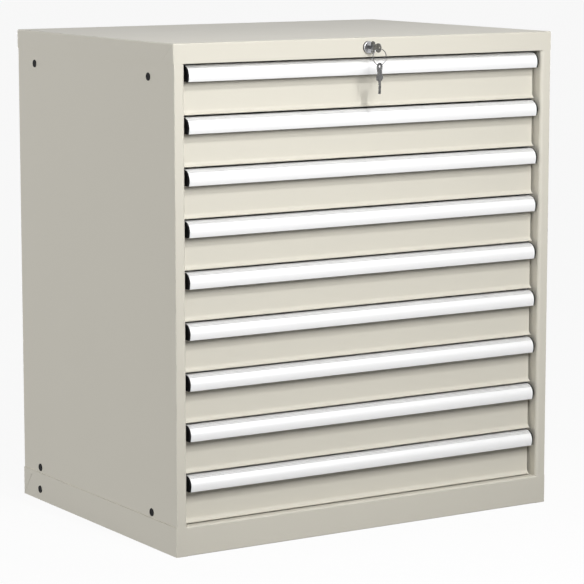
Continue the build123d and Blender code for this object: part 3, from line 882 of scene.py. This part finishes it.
@dataclass(frozen=True)
class KeyForm:
    """One key in the YZ plane: its shoulder at the origin, its bow towards -Y and its blade towards +Y."""

    bow_length: float
    bow_width: float
    tip_radius: float
    waist: float
    thickness: float
    blade_length: float
    shoulder_radius: float = 0.0065
    shoulder_inset: float = 0.0012
    hole_radius: float = 0.0022
    hole_inset: float = 0.005
    hole_sides: int = 32
    rim_width: float = 0.0014
    rim_rise: float = 0.0003
    edge: float = 0.0001
    edge_angle: float = 60.0
    arc_steps: int = 28
    blade_height: float = 0.007
    cut_width: float = 0.0022
    cut_pitch: float = 0.0042
    cut_depths: tuple[float, ...] = (0.0013, 0.0021, 0.0009, 0.0017, 0.0012)
    ward_height: float = 0.0012
    ward_depth: float = 0.0004
    point_share: float = 0.5

    def make(self) -> Piece:
        """Return the key: a lobed bow with a raised rim, and a cut blade."""
        return Bench.join(self._bow(), self._blade())

    def _outline(self) -> Piece:
        """Model the bow as a plain plate: a lobe at the tip, two at the shoulder, and the waist between.

        Returns:
            The plate.
        """
        tip_y = self.tip_radius - self.bow_length
        lobe_y = -self.shoulder_radius - self.shoulder_inset
        lobe_z = self.bow_width / 2 - self.shoulder_radius
        tip_turn = math.pi - math.asin(self.waist / 2 / self.tip_radius)
        lobe_start = math.asin((self.waist / 2 - lobe_z) / self.shoulder_radius)
        waist_start = tip_y - self.tip_radius * math.cos(tip_turn)
        waist_end = lobe_y - self.shoulder_radius * math.cos(lobe_start)
        bpy.ops.object.select_all(action="DESELECT")
        bpy.ops.mesh.primitive_plane_add(size=self.thickness)
        plate = bpy.context.object
        bpy.ops.object.mode_set(mode="EDIT")
        bpy.ops.mesh.select_mode(type="VERT")
        bpy.ops.mesh.merge(type="CENTER")
        bpy.ops.transform.translate(value=(-self.thickness / 2, -self.bow_length, 0))
        bpy.ops.mesh.spin(steps=self.arc_steps, angle=tip_turn, center=(0, tip_y, 0), axis=(1, 0, 0))
        bpy.ops.mesh.extrude_region_move(TRANSFORM_OT_translate={"value": (0, waist_end - waist_start, 0)})
        bpy.ops.mesh.spin(
            steps=self.arc_steps, angle=math.pi - lobe_start, center=(0, lobe_y, lobe_z), axis=(1, 0, 0)
        )
        bpy.ops.mesh.extrude_region_move(TRANSFORM_OT_translate={"value": (0, 0, -lobe_z)})
        bpy.ops.object.mode_set(mode="OBJECT")
        Bench.modify(plate, "MIRROR", use_axis=(False, False, True), merge_threshold=NEAR)
        with Bench.selected(plate, edges=every):
            bpy.ops.mesh.edge_face_add()
            bpy.ops.mesh.extrude_region_move(TRANSFORM_OT_translate={"value": (self.thickness, 0, 0)})
        Bench.outwards(plate)
        return plate

    def _bow(self) -> Piece:
        """Model the bow, with a raised rim on both sides and the hole for the ring.

        Returns:
            The bow.
        """
        bow = self._outline()
        for side in (-1, 1):
            with Bench.selected(bow, faces=lambda centre, normal: normal.x * side > FACING):
                bpy.ops.mesh.inset(thickness=self.rim_width)
                bpy.ops.mesh.inset(thickness=self.rim_rise)
                bpy.ops.transform.translate(value=(-side * self.rim_rise, 0, 0))
        reach = Vector((self.thickness, 0, 0))
        hole = Vector((0, self.hole_inset - self.bow_length, 0))
        Bench.cut(bow, Bench.rod(hole - reach, hole + reach, self.hole_radius, self.hole_sides))
        Bench.soften(bow, self.edge, angle=self.edge_angle)
        return bow

    def _blade(self) -> Piece:
        """Model the blade: tapered point, a warding groove on each side, and cuts in its lower edge.

        Returns:
            The blade.
        """
        half = self.thickness / 2
        low_z = -self.blade_height / 2
        blade = Bench.block(
            Vector((-half, -self.shoulder_inset, low_z)), Vector((half, self.blade_length, -low_z))
        )
        with Bench.selected(blade, faces=lambda centre, normal: normal.y > FACING):
            bpy.ops.mesh.extrude_region_move(TRANSFORM_OT_translate={"value": (0, self.cut_width / 2, 0)})
            bpy.ops.transform.resize(value=(1, 1, self.point_share))
        for side in (-1, 1):
            floor_x = side * (half - self.ward_depth)
            face_x = side * self.thickness
            ward = Bench.block(
                Vector((min(floor_x, face_x), self.cut_width, 0)),
                Vector((max(floor_x, face_x), 2 * self.blade_length, self.ward_height)),
            )
            Bench.cut(blade, ward)
        first_y = self.blade_length - len(self.cut_depths) * self.cut_pitch
        for number, depth in enumerate(self.cut_depths):
            cut_y = first_y + number * self.cut_pitch
            cutter = Bench.block(
                Vector((-self.thickness, cut_y, low_z - depth)),
                Vector((self.thickness, cut_y + self.cut_width, low_z + depth)),
            )
            Bench.cut(blade, cutter)
        return blade


@dataclass
class LockSet:
    """What shows of the lock: rosette, key, key ring, and the spare key that hangs on it."""

    materials: dict[Slot, bpy.types.Material]
    edge: float = 0.0016
    edge_steps: int = 5
    dish_depth: float = 0.0007
    dish_share: float = 0.35
    bore_gap: float = 0.00008
    barrel_radius: float = 0.0095
    round_sides: int = 96
    key_neck: float = 0.006
    tip_radius: float = 0.0092
    waist: float = 0.0142
    ring_radius: float = 0.0159
    wire_radius: float = 0.0006
    wire_sides: int = 12
    ring_steps: int = 150
    ring_turns: float = 1.94
    spare_length: float = 0.037
    spare_width: float = 0.0222
    spare_turn: float = math.radians(69.0)
    spare_hole: float = 0.0031
    spare_hole_inset: float = 0.0069
    spare_blade: float = 0.0235

    def build(self) -> None:
        """Model each of the lock's pieces in turn."""
        self._rosette()
        self._key()
        self._ring()
        self._spare()

    def _axis(self) -> Vector:
        """Return the middle of the plug's face."""
        low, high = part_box("lock_plug")
        return Vector(((low.x + high.x) / 2, low.y, (low.z + high.z) / 2))

    def _hole(self) -> Vector:
        """Return the middle of the hole in the key's bow."""
        axis = self._axis()
        return Vector((axis.x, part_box("lock_key")[0].y + KeyForm.hole_inset, axis.z))

    def _rosette(self) -> None:
        """Model the rosette with its dished face, and the barrel behind it."""
        low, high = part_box("lock_housing")
        plug_low, plug_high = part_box("lock_plug")
        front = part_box("plinth_frame")[0].y
        axis = self._axis()
        radius = (high.x - low.x) / 2
        bore_radius = (plug_high.x - plug_low.x) / 2 + self.bore_gap
        dish = (radius - self.edge - bore_radius) * self.dish_share
        face, foot, tail = (Vector((axis.x, y, axis.z)) for y in (low.y, front, high.y))
        rosette = Bench.rod(face, foot, radius, self.round_sides)
        with Bench.selected(rosette, faces=lambda centre, normal: normal.y < -FACING):
            bpy.ops.mesh.bevel(offset=self.edge, segments=self.edge_steps, affect="EDGES")
        with Bench.selected(rosette, faces=lambda centre, normal: normal.y < -FACING):
            bpy.ops.mesh.inset(thickness=dish)
            bpy.ops.mesh.inset(thickness=dish)
            bpy.ops.transform.translate(value=(0, self.dish_depth, 0))
        with Bench.selected(rosette, faces=lambda centre, normal: normal.y > FACING):
            bpy.ops.mesh.inset(thickness=radius - self.barrel_radius)
            bpy.ops.mesh.extrude_region_move(TRANSFORM_OT_translate={"value": (0, high.y - front, 0)})
        reach = Vector((0, radius, 0))
        Bench.cut(rosette, Bench.rod(face - reach, tail + reach, bore_radius, self.round_sides))
        Bench.outwards(rosette)
        Bench.place(rosette, "lock_rosette", "cabinet", Slot.CHROME, self.materials, ("lock_housing",))

    def _key(self) -> None:
        """Model the key in the lock."""
        low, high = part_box("lock_key")
        axis = self._axis()
        shoulder_y = axis.y - self.key_neck
        form = KeyForm(
            bow_length=shoulder_y - low.y,
            bow_width=high.z - low.z,
            tip_radius=self.tip_radius,
            waist=self.waist,
            thickness=high.x - low.x,
            blade_length=high.y - shoulder_y - KeyForm.cut_width,
        )
        key = Bench.settle(form.make(), Vector((axis.x, shoulder_y, axis.z)))
        Bench.place(key, "key_in_lock", "key", Slot.KEY, self.materials, ("lock_key",))

    def _spare_y(self) -> float:
        """Find where the spare key hangs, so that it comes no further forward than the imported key.

        Returns:
            The place of its middle along Y.
        """
        low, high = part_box("lock_key")
        across = self.spare_width / 2 * math.cos(self.spare_turn)
        through = (high.x - low.x) / 2 * math.sin(self.spare_turn)
        return low.y + across + through

    def _ring(self) -> None:
        """Model the split ring: nearly two turns of wire, through the hole of the bow."""
        hole = self._hole()
        coil_height = 4 * self.wire_radius
        bpy.ops.object.select_all(action="DESELECT")
        bpy.ops.mesh.primitive_circle_add(vertices=self.wire_sides, radius=self.wire_radius, fill_type="NGON")
        ring = Bench.settle(bpy.context.object, Vector((self.ring_radius, 0, 0)), (math.pi / 2, 0, 0))
        Bench.modify(
            ring,
            "SCREW",
            axis="Z",
            angle=math.tau * self.ring_turns,
            steps=self.ring_steps,
            render_steps=self.ring_steps,
            screw_offset=coil_height,
            use_normal_calculate=True,
        )
        Bench.outwards(ring)
        Bench.settle(ring, Vector((0, 0, -coil_height / 2)))
        lean = math.atan2(self._spare_y() - hole.y, 2 * self.ring_radius)
        drop = self.ring_radius + KeyForm.hole_radius - self.wire_radius
        centre = hole + Vector((0, self.ring_radius * math.sin(lean), -drop))
        Bench.settle(ring, centre, (math.pi / 2 + lean, 0, 0))
        Bench.place(ring, "key_ring", "key", Slot.KEY, self.materials)

    def _spare(self) -> None:
        """Model the spare key, which hangs from the ring with its blade down, turned to the front."""
        low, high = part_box("lock_key")
        hole = self._hole()
        form = KeyForm(
            bow_length=self.spare_length,
            bow_width=self.spare_width,
            tip_radius=self.tip_radius,
            waist=self.waist,
            thickness=high.x - low.x,
            blade_length=self.spare_blade,
            hole_radius=self.spare_hole,
            hole_inset=self.spare_hole_inset,
        )
        ring_bottom = hole.z - 2 * self.ring_radius - KeyForm.hole_radius + self.wire_radius
        shoulder_z = ring_bottom + self.wire_radius - form.hole_radius + form.hole_inset - form.bow_length
        spare = Bench.settle(form.make(), turn=(-math.pi / 2, 0, 0))
        Bench.settle(spare, Vector((hole.x, self._spare_y(), shoulder_z)), (0, 0, -self.spare_turn))
        Bench.place(spare, "spare_key", "key", Slot.KEY, self.materials)


@dataclass
class SidePlugs:
    """Black plugs in the holes of the sides: domed round heads and their stems."""

    materials: dict[Slot, bpy.types.Material]
    front_inset: float = 0.1015
    rear_inset: float = 0.078
    low_height: float = 0.071
    high_height: float = 0.932
    plinth_height: float = 0.0235
    head_radius: float = 0.008
    head_height: float = 0.0012
    head_sides: int = 48
    dome: float = 0.0007
    dome_steps: int = 4
    dimple: float = 0.0025
    stem_radius: float = 0.0064
    stem_length: float = 0.005

    def build(self) -> None:
        """Model one plug and copy it to each hole, on both sides."""
        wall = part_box("right_side_panel")[1].x
        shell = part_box("plinth_frame")[1].x
        front_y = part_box("plinth_frame")[0].y + self.front_inset
        rear_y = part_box("plinth_rear_cover")[1].y - self.rear_inset
        heights = (self.low_height, self.high_height)
        places = [Vector((wall, y, z)) for y in (front_y, rear_y) for z in heights]
        places.append(Vector((shell, rear_y, self.plinth_height)))
        first = self._plug()
        plugs = [Bench.settle(Bench.copy(first), place) for place in places]
        bpy.data.objects.remove(first)
        row = Bench.join(*plugs)
        Bench.modify(row, "MIRROR", use_axis=(True, False, False))
        Bench.outwards(row)
        Bench.place(row, "side_plugs", "cabinet", Slot.BLACK, self.materials, ("hole_plugs",))

    def _plug(self) -> Piece:
        """Model one plug whose head stands on the plane through the origin, towards +X.

        Returns:
            The plug.
        """
        plug = Bench.rod(Vector(), Vector((self.head_height, 0, 0)), self.head_radius, self.head_sides)
        with Bench.selected(plug, faces=lambda centre, normal: normal.x > FACING):
            bpy.ops.mesh.bevel(offset=self.dome, segments=self.dome_steps, affect="EDGES")
        with Bench.selected(plug, faces=lambda centre, normal: normal.x > FACING):
            bpy.ops.mesh.inset(thickness=self.dimple)
            bpy.ops.mesh.inset(thickness=self.dome)
            bpy.ops.transform.translate(value=(-self.dome / 2, 0, 0))
        with Bench.selected(plug, faces=lambda centre, normal: normal.x < -FACING):
            bpy.ops.mesh.inset(thickness=self.head_radius - self.stem_radius)
            bpy.ops.mesh.extrude_region_move(TRANSFORM_OT_translate={"value": (-self.stem_length, 0, 0)})
        return plug


# Studio


@dataclass(frozen=True)
class Lamp:
    """A light that shines from one place towards another."""

    name: str
    place: tuple[float, float, float]
    aim: tuple[float, float, float]
    power: float

    def data(self) -> bpy.types.Light:
        """Return the light's own data, which each kind of lamp makes."""
        raise NotImplementedError

    def hang(self) -> None:
        """Add the lamp to the scene."""
        data = self.data()
        data.energy = self.power
        lamp = bpy.data.objects.new(self.name, data)
        lamp.location = self.place
        lamp.rotation_euler = (Vector(self.aim) - Vector(self.place)).to_track_quat("-Z", "Y").to_euler()
        bpy.context.scene.collection.objects.link(lamp)


@dataclass(frozen=True)
class SoftBox(Lamp):
    """A glowing rectangle, with its power in watts."""

    size: tuple[float, float]

    def data(self) -> bpy.types.Light:
        """Return an area light."""
        light = bpy.data.lights.new(self.name, "AREA")
        light.shape = "RECTANGLE"
        light.size, light.size_y = self.size
        return light


@dataclass(frozen=True)
class FarLamp(Lamp):
    """A wide light so far away that it is as strong everywhere, with its power in watts a square metre."""

    spread: float = math.radians(12)

    def data(self) -> bpy.types.Light:
        """Return a sun light."""
        light = bpy.data.lights.new(self.name, "SUN")
        light.angle = self.spread
        return light


@dataclass
class Studio:
    """Floor, lamps, white background, and the camera at the photograph's angle."""

    camera_place: tuple[float, float, float] = (-2.8809, -4.5828, 1.2638)
    camera_turn: tuple[float, float, float] = (math.pi / 2 - 0.1494, 0, -0.5627)
    lens: float = 159.43
    fill: float = 0.03
    fill_tint: Color = (0.98, 0.99, 1.0)
    floor_size: float = 400.0
    floor_white: float = 0.93
    floor_pale: float = 0.8
    floor_bounce: float = 0.25
    lamps: tuple[Lamp, ...] = (
        SoftBox("broad_lamp", place=(-0.3, -2.3, 1.65), aim=(0.0, -0.3, 0.6), power=42.0, size=(1.4, 0.9)),
        SoftBox("narrow_lamp", place=(-0.26, -2.7, 3.2), aim=(0.0, -0.3, 0.6), power=50.0, size=(0.08, 0.4)),
        SoftBox("side_lamp", place=(-5.0, 0.9, 0.9), aim=(-0.45, 0.0, 0.5), power=126.0, size=(3.0, 1.8)),
        FarLamp("right_lamp", place=(4.0, 0.8, 0.5), aim=(0.0, 0.0, 0.3), power=2.1),
        FarLamp("rear_lamp", place=(0.15, 4.0, 0.45), aim=(0.0, 0.0, 0.3), power=1.9),
    )

    def build(self) -> None:
        """Set up everything round the cabinet."""
        bpy.context.scene.view_settings.view_transform = "Standard"
        self._camera()
        self._background()
        self._floor()
        for lamp in self.lamps:
            lamp.hang()

    def _camera(self) -> None:
        """Place the camera."""
        data = bpy.data.cameras.new("photograph")
        data.lens = self.lens
        camera = bpy.data.objects.new("photograph", data)
        camera.location = self.camera_place
        camera.rotation_euler = self.camera_turn
        bpy.context.scene.collection.objects.link(camera)
        bpy.context.scene.camera = camera

    def _background(self) -> None:
        """Light evenly from all round, and show plain white behind the object and in reflections."""
        world = bpy.data.worlds.new("studio")
        shop = NodeShop(world)
        tint = (*self.fill_tint, 1)
        light = shop.add("ShaderNodeBackground", inputs={"Color": tint, "Strength": self.fill})
        white = shop.add("ShaderNodeBackground", inputs={"Color": WHITE, "Strength": 1.0})
        shop.close(shop.add("ShaderNodeMixShader", inputs={0: shop.shown(), 1: light, 2: white}))
        bpy.context.scene.world = world

    def _floor(self) -> None:
        """Lay a pale floor that shows white, keeps the cabinet's shadow, and throws less light back up."""
        bpy.ops.object.select_all(action="DESELECT")
        bpy.ops.mesh.primitive_plane_add(size=self.floor_size)
        floor = bpy.context.object
        floor.name = "studio_floor"
        shop = NodeShop(bpy.data.materials.new("studio_floor"))
        pale = shop.tint(shop.shown(), (self.floor_bounce,) * 3, (self.floor_pale,) * 3)
        matte = shop.add("ShaderNodeBsdfDiffuse", inputs={"Color": pale})
        white = shop.add("ShaderNodeEmission", inputs={"Color": WHITE, "Strength": 1.0})
        share = self.floor_white * shop.shown()
        shop.close(shop.add("ShaderNodeMixShader", inputs={0: share, 1: matte, 2: white}))
        floor.data.materials.append(shop.owner)


def main() -> None:
    """Build the finishes, the pieces and the studio in order."""
    logging.basicConfig(level=logging.INFO, format="%(name)s: %(message)s")
    finishes = Finishes()
    materials = finishes.make()
    SheetSteel(materials).build()
    GripStrips(materials, finishes.painted_groove_shade()).build()
    LockSet(materials).build()
    SidePlugs(materials).build()
    Studio().build()


if __name__ == "__main__":
    main()
